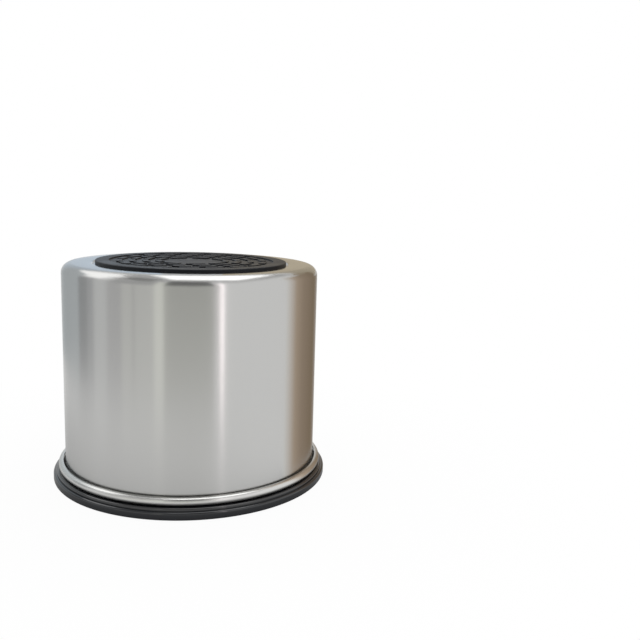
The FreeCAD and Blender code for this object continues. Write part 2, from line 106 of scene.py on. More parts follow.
class Graph:
    """Node tree of a material or of the world, built by short calls."""

    def __init__(self, owner: bpy.types.Material | bpy.types.World) -> None:
        """Start an empty tree.

        Args:
            owner: The material or world that the tree belongs to.
        """
        owner.use_nodes = True
        self.tree = owner.node_tree
        self.tree.nodes.clear()

    def add(self, kind: str, **settings: object) -> bpy.types.Node:
        """Add a node.

        Args:
            kind: Blender's name of the node type.
            settings: Properties of the node to set.

        Returns:
            The new node.
        """
        node = self.tree.nodes.new(kind)
        for key, value in settings.items():
            setattr(node, key, value)
        return node

    def join(self, source: Socket, target: Socket) -> None:
        """Link one socket to another."""
        self.tree.links.new(source, target)

    def feed(self, target: Socket, value: Socket | float | Sequence[float]) -> None:
        """Link a socket to its source, or set it to a constant.

        Args:
            target: Socket that takes the value.
            value: A socket, a number, or the channels of a vector or colour.
        """
        if isinstance(value, Socket):
            self.join(value, target)
        elif target.type == "RGBA":
            target.default_value = (*value, 1.0)
        else:
            target.default_value = value

    def finish(self, kind: str, shader: Socket) -> None:
        """Send the shader to a new output node of the given kind."""
        self.join(shader, self.add(kind).inputs["Surface"])

    def place(self) -> Socket:
        """Coordinates on the piece, in metres."""
        return self.add("ShaderNodeTexCoord").outputs["Object"]

    def math(self, operation: str, first: Socket, second: Socket | float) -> Socket:
        """Combine two numbers.

        Args:
            operation: Blender's name of the operation.
            first: Socket with the first number.
            second: Socket with the second number, or a constant.

        Returns:
            The socket with the result.
        """
        node = self.add("ShaderNodeMath", operation=operation)
        self.feed(node.inputs[0], first)
        self.feed(node.inputs[1], second)
        return node.outputs[0]

    def reach(self, place: Socket) -> Socket:
        """Distance of a place from the can's axis.

        Args:
            place: Socket with the coordinates.

        Returns:
            The socket with the distance.
        """
        flat = self.add("ShaderNodeVectorMath", operation="MULTIPLY")
        self.feed(flat.inputs[0], place)
        self.feed(flat.inputs[1], (1.0, 1.0, 0.0))
        length = self.add("ShaderNodeVectorMath", operation="LENGTH")
        self.feed(length.inputs[0], flat.outputs["Vector"])
        return length.outputs["Value"]

    def noise(self, vector: Socket, scale: float, detail: float = 3.0) -> Socket:
        """Soft noise from 0 to 1.

        Args:
            vector: Coordinates.
            scale: Features in one unit of the coordinates.
            detail: Octaves of finer noise.

        Returns:
            The socket with the noise.
        """
        node = self.add("ShaderNodeTexNoise")
        self.feed(node.inputs["Vector"], vector)
        self.feed(node.inputs["Scale"], scale)
        self.feed(node.inputs["Detail"], detail)
        return node.outputs["Fac"]

    def ranged(self, value: Socket, source: tuple[float, float], target: tuple[float, float]) -> Socket:
        """Map a number from one range to another and clamp it there.

        Args:
            value: Socket with the number.
            source: Range that is spread out.
            target: Range that it is spread over.

        Returns:
            The socket with the mapped number.
        """
        node = self.add("ShaderNodeMapRange")
        self.feed(node.inputs["Value"], value)
        for key, number in zip(("From Min", "From Max", "To Min", "To Max"), (*source, *target)):
            self.feed(node.inputs[key], number)
        return node.outputs["Result"]

    def blend(self, factor: Socket, first: Socket | Colour, second: Socket | Colour) -> Socket:
        """Mix two colours.

        Args:
            factor: Share of the second colour.
            first: Colour, or a socket with one.
            second: Colour that is mixed in, or a socket with one.

        Returns:
            The socket with the mixed colour.
        """
        node = self.add("ShaderNodeMix", data_type="RGBA")
        self.feed(node.inputs["Factor"], factor)
        sides = [socket for socket in node.inputs if socket.type == "RGBA"]
        self.feed(sides[0], first)
        self.feed(sides[1], second)
        return next(socket for socket in node.outputs if socket.type == "RGBA")

    def seen(self) -> Socket:
        """Tell the rays that see the background from those that only light the object.

        Returns:
            The socket that is 1 for camera, glossy and transmission rays.
        """
        path = self.add("ShaderNodeLightPath")
        seen = path.outputs[Ray.CAMERA.value]
        for ray in (Ray.GLOSSY, Ray.TRANSMISSION):
            seen = self.math("MAXIMUM", seen, path.outputs[ray.value])
        return seen


class Surface(Graph):
    """Material with one Principled shader."""

    def __init__(self, name: str, constants: dict[str, float | Colour]) -> None:
        """Start the material.

        Args:
            name: Name of the material.
            constants: Shader sockets that are the same all over the surface.
        """
        self.material = bpy.data.materials.new(name)
        super().__init__(self.material)
        self.shader = self.add("ShaderNodeBsdfPrincipled")
        self.finish("ShaderNodeOutputMaterial", self.shader.outputs["BSDF"])
        for key, value in constants.items():
            self.feed(self.shader.inputs[key], value)

    def relief(self, height: Socket, depth: float) -> None:
        """Raise and sink the shaded surface.

        Args:
            height: Socket with heights from 0 to 1.
            depth: Height of 1, in metres.
        """
        node = self.add("ShaderNodeBump")
        self.feed(node.inputs["Distance"], depth)
        self.feed(node.inputs["Height"], height)
        self.join(node.outputs["Normal"], self.shader.inputs["Normal"])


def toned(colour: Colour, factor: float) -> Colour:
    """A colour made lighter or darker by one factor."""
    return tuple(min(1.0, channel * factor) for channel in colour)


@dataclass(frozen=True)
class Steel:
    """Stainless steel with fine lines round the can's axis.

    Attributes:
        name: Name of the material.
        colour: Colour of the metal, seen straight on.
        roughness: Middle roughness.
        anisotropy: How far the lines stretch a highlight across themselves.
        grazing: Colour at a grazing angle, as a share of a plain mirror's.
        spread: Change of the roughness from line to line.
        line_pitch: Typical distance between lines.
        line_length: Typical length of a line.
        line_depth: Height of the relief.
        line_contrast: Change of the colour from line to line, as a share.
        smudge: Change of the roughness in soft patches.
        smudge_size: Typical size of a patch.
    """

    name: str
    colour: Colour
    roughness: float
    anisotropy: float = 0.0
    grazing: Colour = (0.78, 0.78, 0.78)
    spread: float = 0.006
    line_pitch: float = 0.35 * MM
    line_length: float = 45 * MM
    line_depth: float = 0.0001 * MM
    line_contrast: float = 0.008
    smudge: float = 0.015
    smudge_size: float = 22 * MM

    def material(self) -> bpy.types.Material:
        """Build the material.

        Returns:
            The material.
        """
        steel = Surface(self.name, {
            "Metallic": 1.0,
            "Anisotropic": self.anisotropy,
            "Anisotropic Rotation": QUARTER_TURN,
            "Specular Tint": self.grazing,
        })
        tangent = steel.add("ShaderNodeTangent", direction_type="RADIAL", axis="Z")
        steel.join(tangent.outputs["Tangent"], steel.shader.inputs["Tangent"])
        place = steel.place()
        lines = steel.noise(self.along_lines(steel, place), 1.0, detail=2.0)
        patches = steel.noise(place, 1 / self.smudge_size, detail=2.0)
        tint = steel.blend(lines, toned(self.colour, 1 - self.line_contrast),
                           toned(self.colour, 1 + self.line_contrast))
        steel.join(tint, steel.shader.inputs["Base Color"])
        smoothest, roughest = self.roughness - self.spread, self.roughness + self.spread
        fine = steel.ranged(lines, NOISE_SPAN, (smoothest, roughest))
        soft = steel.ranged(patches, SMUDGE_SPAN, (0.0, self.smudge))
        steel.join(steel.math("ADD", fine, soft), steel.shader.inputs["Roughness"])
        steel.relief(lines, self.line_depth)
        return steel.material

    def along_lines(self, graph: Graph, place: Socket) -> Socket:
        """Coordinates that are drawn out along the lines and close across them.

        Args:
            graph: The material's graph.
            place: Coordinates on the piece.

        Returns:
            The socket with the coordinates.
        """
        parts = graph.add("ShaderNodeSeparateXYZ")
        graph.join(place, parts.inputs[0])
        meridian = graph.math("SUBTRACT", parts.outputs["Z"], graph.reach(place))
        drawn = graph.add("ShaderNodeCombineXYZ")
        graph.feed(drawn.inputs["X"], graph.math("DIVIDE", parts.outputs["X"], self.line_length))
        graph.feed(drawn.inputs["Y"], graph.math("DIVIDE", parts.outputs["Y"], self.line_length))
        graph.feed(drawn.inputs["Z"], graph.math("DIVIDE", meridian, self.line_pitch))
        return drawn.outputs["Vector"]


@dataclass(frozen=True)
class Moulded:
    """Moulded plastic, rubber or silicone with a fine grain, soft mottling and a few dust specks.

    Attributes:
        name: Name of the material.
        colour: Main colour.
        roughness: Middle roughness.
        grain_size: Size of the grain.
        grain_depth: Height of the grain's relief.
        mottling: Change of the colour in soft patches, as a share.
        patch_size: Typical size of a patch.
        gloss_change: Change of the roughness in the patches, as a share.
        dust: Strength of the dust specks.
        dust_size: Size of a speck.
        dust_colour: Colour of the dust.
        specular: Strength of the gloss.
        translucency: Share of light that goes under the surface.
        light_depth: How deep that light goes.
    """

    name: str
    colour: Colour
    roughness: float
    grain_size: float = 0.5 * MM
    grain_depth: float = 0.01 * MM
    mottling: float = 0.15
    patch_size: float = 14 * MM
    gloss_change: float = 0.12
    dust: float = 0.0
    dust_size: float = 0.7 * MM
    dust_colour: Colour = (0.42, 0.41, 0.39)
    specular: float = 0.5
    translucency: float = 0.0
    light_depth: float = 1.5 * MM

    def material(self) -> bpy.types.Material:
        """Build the material.

        Returns:
            The material.
        """
        moulded = Surface(self.name, {
            "Metallic": 0.0,
            "Specular IOR Level": self.specular,
            "Subsurface Weight": self.translucency,
            "Subsurface Scale": self.light_depth,
        })
        place = moulded.place()
        grain = moulded.noise(place, 1 / self.grain_size, detail=2.0)
        patches = moulded.noise(place, 1 / self.patch_size)
        dust = moulded.noise(place, 1 / self.dust_size, detail=1.0)
        specks = moulded.ranged(dust, SPECK_SPAN, (0.0, self.dust))
        tint = moulded.blend(patches, toned(self.colour, 1 - self.mottling),
                             toned(self.colour, 1 + self.mottling))
        moulded.join(moulded.blend(specks, tint, self.dust_colour), moulded.shader.inputs["Base Color"])
        smoothest = self.roughness * (1 - self.gloss_change)
        roughest = self.roughness * (1 + self.gloss_change)
        rough = moulded.ranged(patches, NOISE_SPAN, (smoothest, min(1.0, roughest)))
        moulded.join(rough, moulded.shader.inputs["Roughness"])
        moulded.relief(grain, self.grain_depth)
        return moulded.material


CAN_SATIN = Steel("can_satin", (0.52, 0.52, 0.51), 0.22, anisotropy=0.85)
# Painted light: the rim's steel is given a lighter colour than the wall's, which stands in for the brighter
# reflections on the curl; its roughness without lines is its own finish.
CAN_RIM_PAINTED_BRIGHT = Steel("can_rim_painted_bright", (0.64, 0.64, 0.625), 0.27, smudge=0.01)
CAN_BASE = Steel("can_base", (0.52, 0.52, 0.51), 0.09, anisotropy=0.5, smudge=0.01)
SMALL_STEEL = Steel("bright_steel", (0.6, 0.6, 0.59), 0.2, line_pitch=0.2 * MM, line_length=3 * MM)
PAD_RUBBER = Moulded("pad_rubber", (0.004, 0.0055, 0.009), 0.5, grain_size=0.35 * MM,
                     grain_depth=0.02 * MM, mottling=0.2, dust=0.06, specular=0.25)
LID_GLOSS = Moulded("lid_gloss", (0.004, 0.0055, 0.009), 0.06, grain_size=1.6 * MM,
                    grain_depth=0.0006 * MM, mottling=0.1, dust=0.03, specular=0.8)
SEAL_RUBBER = Moulded("seal_rubber", (0.005, 0.0055, 0.0075), 0.09, grain_size=0.6 * MM,
                      grain_depth=0.001 * MM, specular=1.0)
ADHESIVE_FOAM = Moulded("adhesive_foam", (0.06, 0.06, 0.06), 0.85, grain_size=0.25 * MM,
                        grain_depth=0.05 * MM)
PAN_PLASTIC = Moulded("pan_plastic", (0.03, 0.03, 0.032), 0.5, grain_size=0.3 * MM, grain_depth=0.02 * MM)
HANDLE_PLASTIC = Moulded("handle_plastic", (0.035, 0.035, 0.038), 0.38, grain_size=0.6 * MM,
                         grain_depth=0.006 * MM)
GASKET_SILICONE = Moulded("gasket_silicone", (0.55, 0.55, 0.53), 0.42, grain_depth=0.003 * MM,
                          mottling=0.05, translucency=0.3)
CAM_ACETAL = Moulded("cam_acetal", (0.75, 0.74, 0.7), 0.36, grain_depth=0.003 * MM, mottling=0.03,
                     translucency=0.15)
PLUNGER_ACETAL = Moulded("plunger_acetal", (0.08, 0.08, 0.085), 0.4, grain_depth=0.004 * MM)
VALVE_SILICONE = Moulded("valve_silicone", (0.42, 0.42, 0.4), 0.5, grain_depth=0.004 * MM, mottling=0.06,
                         translucency=0.2)


# Turned shapes

@dataclass(frozen=True)
class Corner:
    """A corner of an outline that is turned about the can's axis.

    Attributes:
        radius: Distance from the axis.
        height: Height above the table.
        rounding: Radius of the corner's arc, 0 for a sharp corner.
    """

    radius: float
    height: float
    rounding: float = 0.0


def arc(centre: Vector, radius: float, start: float, end: float) -> list[Vector]:
    """Points along an arc of the meridian plane.

    Args:
        centre: Centre of the arc, as (radius, height).
        radius: Radius of the arc.
        start: First angle, in radians.
        end: Last angle.

    Returns:
        The points, both ends among them.
    """
    steps = max(ARC_LEAST_STEPS, math.ceil(abs(end - start) / ARC_STEP))
    angles = [start + (end - start) * i / steps for i in range(steps + 1)]
    return [centre + radius * Vector((math.cos(angle), math.sin(angle))) for angle in angles]


def rounded(corners: Sequence[Corner]) -> list[Vector]:
    """Draw a closed outline through corners.

    Args:
        corners: Corners in order round the outline.

    Returns:
        Points of (radius, height), with arcs at the rounded corners.
    """
    points = []
    for i, corner in enumerate(corners):
        here = Vector((corner.radius, corner.height))
        if not corner.rounding:
            points.append(here)
            continue
        neighbours = corners[i - 1], corners[(i + 1) % len(corners)]
        before, after = (Vector((n.radius, n.height)) - here for n in neighbours)
        before.normalize()
        after.normalize()
        half_angle = before.angle(after) / 2
        centre = here + (before + after).normalized() * (corner.rounding / math.sin(half_angle))
        first = here + before * (corner.rounding / math.tan(half_angle)) - centre
        turn = math.pi - 2 * half_angle
        side = math.copysign(1.0, before.cross(after))
        start = math.atan2(first.y, first.x)
        points += arc(centre, corner.rounding, start, start - side * turn)
    return points


def finished_object(name: str, shape: bmesh.types.BMesh) -> bpy.types.Object:
    """Turn a bmesh into an object of the scene, smooth but for its sharp edges.

    Args:
        name: Name of the object.
        shape: The mesh, which is freed.

    Returns:
        The new object.
    """
    bmesh.ops.recalc_face_normals(shape, faces=shape.faces)
    mesh = bpy.data.meshes.new(name)
    shape.to_mesh(mesh)
    shape.free()
    shade(mesh)
    piece = bpy.data.objects.new(name, mesh)
    bpy.context.scene.collection.objects.link(piece)
    return piece


def shade(mesh: bpy.types.Mesh) -> None:
    """Shade a mesh smooth and keep its sharp edges."""
    mesh.polygons.foreach_set("use_smooth", [True] * len(mesh.polygons))
    mesh.set_sharp_from_angle(angle=SHARP_ANGLE)


def turned(name: str, outline: Sequence[Vector], zones: Sequence[Zone] = ()) -> bpy.types.Object:
    """Turn a closed outline about the can's axis.

    Args:
        name: Name of the object.
        outline: Points of (radius, height) in order round the section.
        zones: Zone of the band that starts at each point; empty for one finish.

    Returns:
        The new object, a closed mesh.
    """
    shape = bmesh.new()
    angles = [2 * math.pi * i / TURN_SIDES for i in range(TURN_SIDES)]
    rings = []
    for point in outline:
        if point.x < AXIS_RADIUS:
            rings.append([shape.verts.new((0, 0, point.y))] * TURN_SIDES)
            continue
        rings.append([
            shape.verts.new((point.x * math.sin(angle), -point.x * math.cos(angle), point.y))
            for angle in angles
        ])
    for i, here in enumerate(rings):
        there = rings[(i + 1) % len(rings)]
        for k in range(TURN_SIDES):
            around = here[k - 1], here[k], there[k], there[k - 1]
            corners = list(dict.fromkeys(around))
            if len(corners) < 3:
                continue
            face = shape.faces.new(corners)
            face.material_index = zones[i].value if zones else 0
    return finished_object(name, shape)


@dataclass
class Piece:
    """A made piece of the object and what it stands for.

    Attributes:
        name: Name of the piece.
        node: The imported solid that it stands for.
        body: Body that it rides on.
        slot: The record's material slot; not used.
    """

    name: str
    node: str
    body: Body
    slot: str

    def settle(self, made: bpy.types.Object, materials: Sequence[bpy.types.Material]) -> None:
        """Give a made object its finishes and its place in the frame.

        Args:
            made: The object.
            materials: Its materials, by index.
        """
        for material in materials:
            made.data.materials.append(material)
        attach(made, self.body.value)
        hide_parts(self.node)
        LOG.info("%s: %d faces, stands for %s", made.name, len(made.data.polygons), self.node)

    @cached_property
    def box(self) -> tuple[Vector, Vector]:
        """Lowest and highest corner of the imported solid."""
        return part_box(self.node)

    @property
    def low(self) -> Vector:
        """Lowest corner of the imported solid."""
        return self.box[0]

    @property
    def high(self) -> Vector:
        """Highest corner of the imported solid."""
        return self.box[1]


# Sub-assemblies

@dataclass
class Can(Piece):
    """Drawn steel can with a shallow recess in its base and a rim rolled outwards into a hollow curl.

    Attributes:
        wall: Thickness of the sheet.
        shoulder: Outer radius between wall and base.
        panel_radius: Radius of the recess's floor.
        recess_depth: Depth of the recess.
        bend: Inner radius of the bends round the recess.
        curl: Outer radius of the rolled rim.
        curl_end_gap: Gap between the end of the roll and the wall.
    """

    name: str = "steel_can"
    node: str = "canister_shell"
    body: Body = Body.CANISTER
    slot: str = "can_steel"
    wall: float = 0.6 * MM
    shoulder: float = 4.5 * MM
    panel_radius: float = 43.55 * MM
    recess_depth: float = 1.15 * MM
    bend: float = 0.8 * MM
    curl: float = 1.85 * MM
    curl_end_gap: float = 1 * MM

    @property
    def body_radius(self) -> float:
        """Outer radius of the wall."""
        return self.high.x - 2 * self.curl + self.wall

    @property
    def roll_centre(self) -> Vector:
        """Centre of the rolled rim's section."""
        return Vector((self.high.x - self.curl, self.low.z + self.curl))

    def outer_base(self) -> list[Vector]:
        """Draw the base's outside from the axis to the shoulder.

        Returns:
            Points of (radius, height).
        """
        panel_z = self.high.z - self.recess_depth
        return rounded([
            Corner(0, panel_z),
            Corner(self.panel_radius, panel_z, self.bend),
            Corner(self.panel_radius + self.recess_depth, self.high.z, self.bend + self.wall),
            Corner(self.body_radius - self.shoulder, self.high.z),
        ])[:-1]

    def outer_shoulder(self) -> list[Vector]:
        """Draw the shoulder's outside from the base to the wall."""
        centre = Vector((self.body_radius - self.shoulder, self.high.z - self.shoulder))
        return arc(centre, self.shoulder, math.pi / 2, 0)

    def rim(self) -> list[Vector]:
        """Draw the curl, from its inner face round its end to its outer face.

        Returns:
            Points of (radius, height).
        """
        reach = self.body_radius + self.curl_end_gap - self.roll_centre.x
        roll_end = 2 * math.pi + math.acos(reach / self.curl)
        inner_face = arc(self.roll_centre, self.curl - self.wall, math.pi, roll_end)
        return inner_face + arc(self.roll_centre, self.curl, roll_end, math.pi)

    def inner_side(self) -> list[Vector]:
        """Draw the inside from the curl back to the axis.

        Returns:
            Points of (radius, height).
        """
        bore = self.body_radius - self.wall
        base_z = self.high.z - self.wall
        panel_radius = self.panel_radius + self.wall * math.tan(RECESS_SLOPE / 2)
        panel_z = base_z - self.recess_depth
        return rounded([
            Corner(bore, self.roll_centre.y),
            Corner(bore, base_z, self.shoulder - self.wall),
            Corner(panel_radius + self.recess_depth, base_z, self.bend),
            Corner(panel_radius, panel_z, self.bend + self.wall),
            Corner(0, panel_z),
        ])[1:]

    def build(self) -> bpy.types.Object:
        """Turn the can from its outer base, round the curl, to its inner base.

        Returns:
            The can.
        """
        sides = (
            (self.outer_base(), Zone.BASE),
            (self.outer_shoulder(), Zone.WALL),
            (self.rim(), Zone.RIM),
            (self.inner_side(), Zone.WALL),
        )
        points = [point for side, _ in sides for point in side]
        zones = [zone for side, zone in sides for _ in side]
        return turned(self.name, points, zones)

    def dress(self) -> None:
        """Make the can, satin on its wall and its rolled rim, with painted light lifting the rim's steel
        colour, and smoother on its base.
        """
        self.settle(self.build(), [CAN_SATIN.material(), CAN_RIM_PAINTED_BRIGHT.material(), CAN_BASE.material()])


@dataclass
class BasePad(Piece):
    """Rubber pad on the base: a raised rim round a sunk field of staggered tread bars.

    Attributes:
        edge_round: Rounding of the outer top edge.
        field_round: Rounding of the field's edges.
        rim_width: Width of the flat rim.
        field_depth: Depth of the sunk field.
        bar_width: Width of a tread bar.
        row_gap: Gap between rows of bars.
        bar_length: Length of a bar, along its row.
        end_gap: Least gap between bars of a row.
        bar_below_rim: How far the bars stay below the rim.
        middle_radius: Radius of the bare middle.
        bar_root: How deep a bar is rooted in the field.
        bar_round: Rounding of a bar's edges.
        bar_round_steps: Flat pieces across that rounding.
        bar_steps: Flat pieces along a bar.
    """

    name: str = "rubber_pad"
    node: str = "base_pad"
    body: Body = Body.CANISTER
    slot: str = "pad_rubber"
    edge_round: float = 0.5 * MM
    field_round: float = 0.2 * MM
    rim_width: float = 6 * MM
    field_depth: float = 0.7 * MM
    bar_width: float = 2.8 * MM
    row_gap: float = 3 * MM
    bar_length: float = 8 * MM
    end_gap: float = 3.2 * MM
    bar_below_rim: float = 0.1 * MM
    middle_radius: float = 9 * MM
    bar_root: float = 0.4 * MM
    bar_round: float = 0.22 * MM
    bar_round_steps: int = 2
    bar_steps: int = 8

    def disc(self) -> bpy.types.Object:
        """Turn the pad without its bars.

        Returns:
            The disc.
        """
        radius, top = self.high.x, self.high.z
        field_radius = radius - self.rim_width
        field_top = top - self.field_depth
        return turned(self.name, rounded([
            Corner(0, self.low.z),
            Corner(radius, self.low.z),
            Corner(radius, top, self.edge_round),
            Corner(field_radius, top, self.field_round),
            Corner(field_radius, field_top, self.field_round),
            Corner(0, field_top),
        ]))

    def bar(self, shape: bmesh.types.BMesh, inside: float, start: float) -> None:
        """Add one curved bar.

        Args:
            shape: Mesh that gets the bar.
            inside: The bar's inner radius.
            start: Angle at which it starts, in radians.
        """
        outside = inside + self.bar_width
        top = self.high.z - self.bar_below_rim
        bottom = self.high.z - self.field_depth - self.bar_root
        sweep = self.bar_length / ((inside + outside) / 2)
        section = (inside, bottom), (outside, bottom), (outside, top), (inside, top)
        rings = []
        for step in range(self.bar_steps + 1):
            angle = start + sweep * step / self.bar_steps
            way = Vector((math.cos(angle), math.sin(angle)))
            rings.append([shape.verts.new((way.x * r, way.y * r, z)) for r, z in section])
        for here, there in zip(rings, rings[1:]):
            for k in range(len(section)):
                shape.faces.new((here[k - 1], here[k], there[k], there[k - 1]))
        shape.faces.new(rings[0])
        shape.faces.new(rings[-1])

    def tread(self) -> bpy.types.Object:
        """Make all the bars, row by row, each row staggered against the next.

        Returns:
            The bars as one object.
        """
        shape = bmesh.new()
        pitch = self.bar_width + self.row_gap
        outermost = self.high.x - self.rim_width - self.row_gap
        for row in range(int((outermost - self.middle_radius) / pitch)):
            inside = outermost - row * pitch - self.bar_width
            around = 2 * math.pi * (inside + self.bar_width / 2)
            count = round(around / (self.bar_length + self.end_gap))
            step = 2 * math.pi / count
            for i in range(count):
                self.bar(shape, inside, step * (i + (row % 2) / 2))
        return finished_object("tread_bars", shape)

    def build(self) -> bpy.types.Object:
        """Join the disc and the bars into one mesh with rounded bar edges.

        Returns:
            The pad.
        """
        pad = self.disc()
        bars = self.tread()
        rounding = bars.modifiers.new("rounding", "BEVEL")
        rounding.width = self.bar_round
        rounding.segments = self.bar_round_steps
        joining = pad.modifiers.new("joining", "BOOLEAN")
        joining.operation = "UNION"
        joining.solver = "EXACT"
        joining.object = bars
        bpy.context.view_layer.update()
        joined = pad.evaluated_get(bpy.context.evaluated_depsgraph_get())
        mesh = bpy.data.meshes.new_from_object(joined)
        pad.modifiers.clear()
        pad.data = mesh
        bpy.data.objects.remove(bars)
        shade(mesh)
        return pad

    def dress(self) -> None:
        """Make the pad in matt rubber."""
        self.settle(self.build(), [PAD_RUBBER.material()])


@dataclass
class OuterLid(Piece):
    """Outer lid: a plate with rounded edges and a plug ring with a bead that holds the seal on.

    Attributes:
        plate: Thickness of the plate.
        face_round: Rounding of the edge on the table.
        edge_round: Rounding of the upper edge.
        plug_radius: Outer radius of the plug ring.
        plug_wall: Thickness of the ring.
        bead: How far the bead stands out.
        bead_height: Height of the bead.
        plug_round: Rounding of the ring's end.
    """

    name: str = "gloss_lid"
    node: str = "outer_lid"
    body: Body = Body.OUTER_LID
    slot: str = "lid_plastic"
    plate: float = 3.4 * MM
    face_round: float = 0.5 * MM
    edge_round: float = 0.9 * MM
    plug_radius: float = 54.63 * MM
    plug_wall: float = 1.6 * MM
    bead: float = 0.7 * MM
    bead_height: float = 1 * MM
    plug_round: float = 0.4 * MM

    def build(self) -> bpy.types.Object:
        """Turn the lid.

        Returns:
            The lid.
        """
        top = self.low.z + self.plate
        bead_radius = self.plug_radius + self.bead
        bead_z = self.high.z - self.bead_height
        ring_inside = self.plug_radius - self.plug_wall
        return turned(self.name, rounded([
            Corner(0, self.low.z),
            Corner(self.high.x, self.low.z, self.face_round),
            Corner(self.high.x, top, self.edge_round),
            Corner(self.plug_radius, top),
            Corner(self.plug_radius, bead_z),
            Corner(bead_radius, bead_z, self.plug_round),
            Corner(bead_radius, self.high.z, self.plug_round),
            Corner(ring_inside, self.high.z, self.plug_round),
            Corner(ring_inside, top, self.plug_wall),
            Corner(0, top),
        ]))

    def dress(self) -> None:
        """Make the lid in glossy plastic."""
        self.settle(self.build(), [LID_GLOSS.material()])


@dataclass
class LidSeal(Piece):
    """Rubber ring on the outer lid: a flange under the can's rim and a sleeve with ribs that meet the bore.

    Attributes:
        flange: Thickness of the flange.
        flange_round: Rounding of the flange's edge.
        sleeve: Thickness of the sleeve.
        rib_depth: How far the ribs stand out.
        rib_height: Height of a rib's foot.
        edge_round: Rounding of the sleeve's end and the ribs.
        inside: Inner radius of the sleeve.
        rib_shares: Places of the ribs, as shares of the sleeve's height.
    """

    name: str = "seal_ring"
    node: str = "lid_seal"
    body: Body = Body.OUTER_LID
    slot: str = "seal_rubber"
    flange: float = 1.3 * MM
    flange_round: float = 0.6 * MM
    sleeve: float = 1.5 * MM
    rib_depth: float = 0.8 * MM
    rib_height: float = 1.4 * MM
    edge_round: float = 0.3 * MM
    inside: float = 54.65 * MM
    rib_shares: tuple[float, ...] = (0.45, 0.78)

    def build(self) -> bpy.types.Object:
        """Turn the seal.

        Returns:
            The seal.
        """
        seat = self.low.z + self.flange
        sleeve_radius = self.inside + self.sleeve
        corners = [
            Corner(self.inside, self.low.z),
            Corner(self.high.x, self.low.z),
            Corner(self.high.x, seat, self.flange_round),
            Corner(sleeve_radius, seat),
        ]
        for share in self.rib_shares:
            rib_z = seat + share * (self.high.z - seat)
            corners += [
                Corner(sleeve_radius, rib_z - self.rib_height / 2),
                Corner(sleeve_radius + self.rib_depth, rib_z, self.edge_round),
                Corner(sleeve_radius, rib_z + self.rib_height / 2),
            ]
        corners += [Corner(sleeve_radius, self.high.z, self.edge_round), Corner(self.inside, self.high.z)]
        return turned(self.name, rounded(corners))

    def dress(self) -> None:
        """Make the seal in smooth rubber."""
        self.settle(self.build(), [SEAL_RUBBER.material()])


@dataclass
class InnerWorks:
    """Inner lid, handle, valve and pad adhesive, whose solids stay and get finishes.

    Attributes:
        finishes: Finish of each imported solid, by its node's name.
    """

    finishes: dict[str, Steel | Moulded] = field(default_factory=lambda: {
        "pad_adhesive": ADHESIVE_FOAM,
        "inner_lid_pan": PAN_PLASTIC,
        "inner_lid_gasket": GASKET_SILICONE,
        "handle_bail": HANDLE_PLASTIC,
        "cross_axle": SMALL_STEEL,
        "valve_cam": CAM_ACETAL,
        "valve_plunger": PLUNGER_ACETAL,
        "valve_disc": VALVE_SILICONE,
        "valve_spring": SMALL_STEEL,
        "stem_clip": SMALL_STEEL,
    })

    def dress(self) -> None:
        """Give each solid its finish."""
        made = {finish: finish.material() for finish in dict.fromkeys(self.finishes.values())}
        for node, finish in self.finishes.items():
            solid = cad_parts[node]
            solid.data.materials.clear()
            solid.data.materials.append(made[finish])
            LOG.info("%s: solid kept, finished as %s", node, finish.name)


# Studio

def glow() -> bpy.types.Material:
    """Build a glow that takes its colour and brightness from the mesh.

    Returns:
        The material.
    """
    material = bpy.data.materials.new("studio_glow")
    graph = Graph(material)
    emission = graph.add("ShaderNodeEmission")
    radiance = graph.add("ShaderNodeAttribute", attribute_name=GLOW_LAYER)
    graph.join(radiance.outputs["Color"], emission.inputs["Color"])
    graph.finish("ShaderNodeOutputMaterial", emission.outputs[0])
    return material


def reflected_only(name: str, edges: Sequence[tuple[Sequence[Vector], Colour]],
                   material: bpy.types.Material) -> None:
    """Set up a glowing sheet of the studio that shows in glossy surfaces and nowhere else.

    Args:
        name: Name of the sheet.
        edges: Points across the sheet from one side to the other, each row with its colour and brightness.
        material: The glow.
    """
    shape = bmesh.new()
    layer = shape.verts.layers.float_color.new(GLOW_LAYER)
    rows = []
    for points, radiance in edges:
        row = [shape.verts.new(point) for point in points]
        for corner in row:
            corner[layer] = (*radiance, 1.0)
        rows.append(row)
    for here, there in zip(rows, rows[1:]):
        shape.faces.new((here[0], there[0], there[1], here[1]))
    sheet = finished_object(name, shape)
    sheet.data.materials.append(material)
    sheet.visible_camera = False
    sheet.visible_diffuse = False
    sheet.visible_shadow = False


def level_square(half: float, height: float) -> list[list[Vector]]:
    """Corners of a level square round the can's axis: two opposite sides, each from left to right."""
    return [[Vector((x, y, height)) for x in (-half, half)] for y in (-half, half)]


@dataclass(frozen=True)
class Card:
    """Curved studio card round the object, for the steel to mirror.

    Attributes:
        name: Name of the card.
        azimuths: Its two sides, in degrees from the camera's side, rising to the right.
        heights: Its lower and upper edge.
        radiance: Its colour and brightness.
        distance: Its distance from the can's axis.
        fades_to: Colour and brightness at its second side, where they change along the card.
    """

    name: str
    azimuths: tuple[float, float]
    heights: tuple[float, float]
    radiance: Colour
    distance: float = 0.3
    fades_to: Colour | None = None

    def build(self, material: bpy.types.Material) -> None:
        """Make the card.

        Args:
            material: The glow.
        """
        first, last = (math.radians(azimuth) for azimuth in self.azimuths)
        from_colour, to_colour = Vector(self.radiance), Vector(self.fades_to or self.radiance)
        steps = max(CARD_LEAST_STEPS, math.ceil(abs(last - first) / ARC_STEP))
        edges = []
        for i in range(steps + 1):
            angle = first + (last - first) * i / steps
            x, y = self.distance * math.sin(angle), -self.distance * math.cos(angle)
            points = [Vector((x, y, z)) for z in self.heights]
            edges.append((points, from_colour.lerp(to_colour, i / steps)))
        reflected_only(self.name, edges, material)


